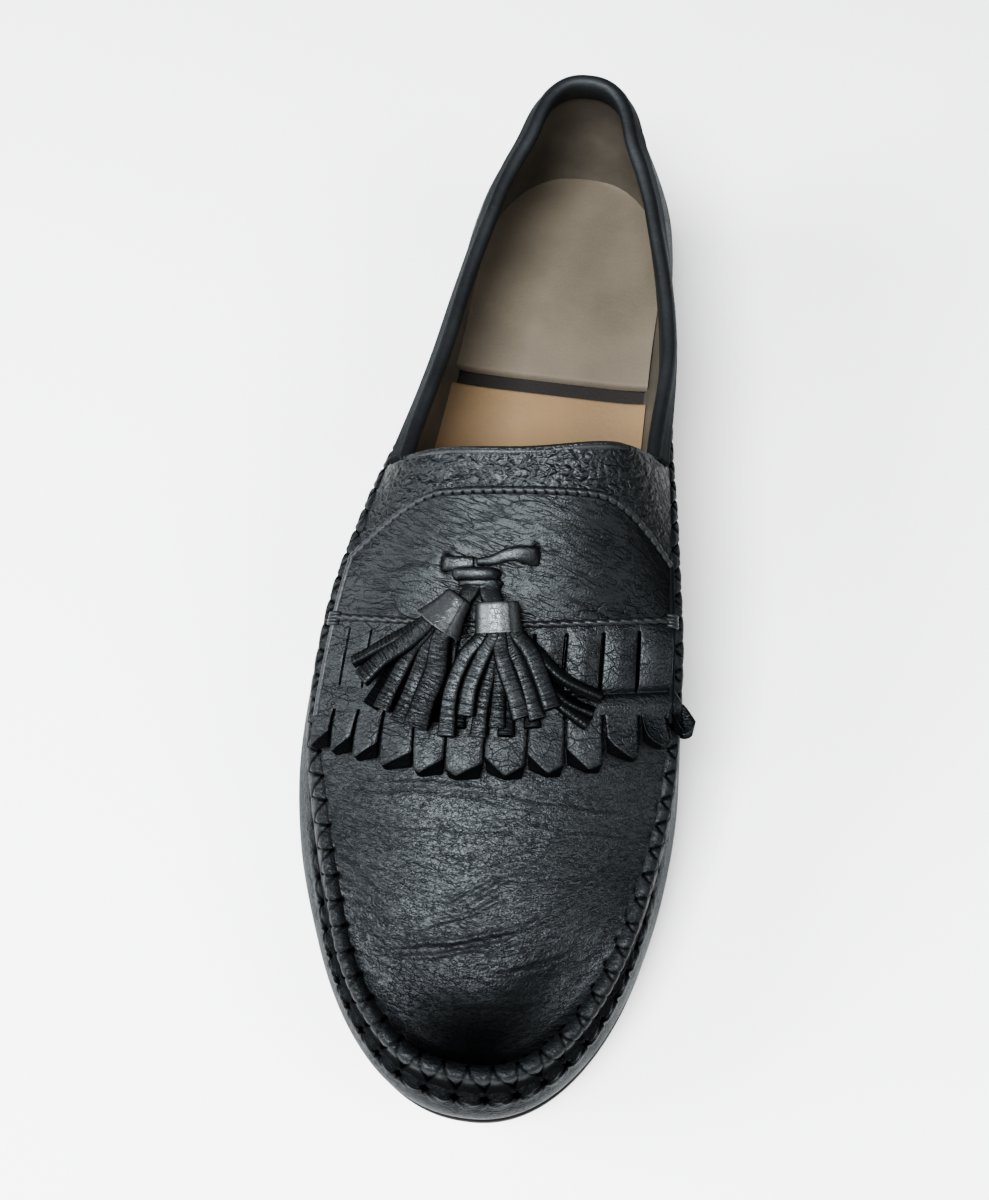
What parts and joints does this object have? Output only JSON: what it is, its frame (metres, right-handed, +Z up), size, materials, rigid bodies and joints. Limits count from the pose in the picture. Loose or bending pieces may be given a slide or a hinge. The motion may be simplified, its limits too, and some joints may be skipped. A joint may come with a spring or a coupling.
{
  "type": "tassel loafer",
  "caption": "Black leather slip-on loafer for the right foot: laced moccasin seam, fringed kiltie, tassels, bound collar, leather sole and low stacked heel.",
  "frame": {"origin": "on the floor, under the middle of the shoe's length and width", "axes": "+Z up from the floor, +Y from toe to heel, +X towards the inner (big toe) side"},
  "size_m": [0.106, 0.3001, 0.0895],
  "materials": {
    "sole_leather": "matt, worn tan underside with a black painted edge",
    "heel_leather": "painted edge, satin",
    "heel_rubber": "matt",
    "insole_leather": "matt",
    "upper_leather": "pebbled grain, satin",
    "lacing_leather": "satin",
    "binding_leather": "smooth satin",
    "saddle_leather": "creased grain, satin",
    "kiltie_leather": "creased grain, satin",
    "lace_leather": "satin",
    "tassel_leather": "satin"
  },
  "bodies": {
    "root": {"outsole": "sole_leather", "heel": "heel_leather", "heel_lift": "heel_rubber", "insole": "insole_leather", "upper": "upper_leather", "seam_lacing": "lacing_leather", "topline_binding": "binding_leather", "saddle": "saddle_leather", "kiltie": "kiltie_leather", "tassel_lace": "lace_leather", "tassel_medial": "tassel_leather", "tassel_lateral": "tassel_leather"}
  },
  "joints": []
}
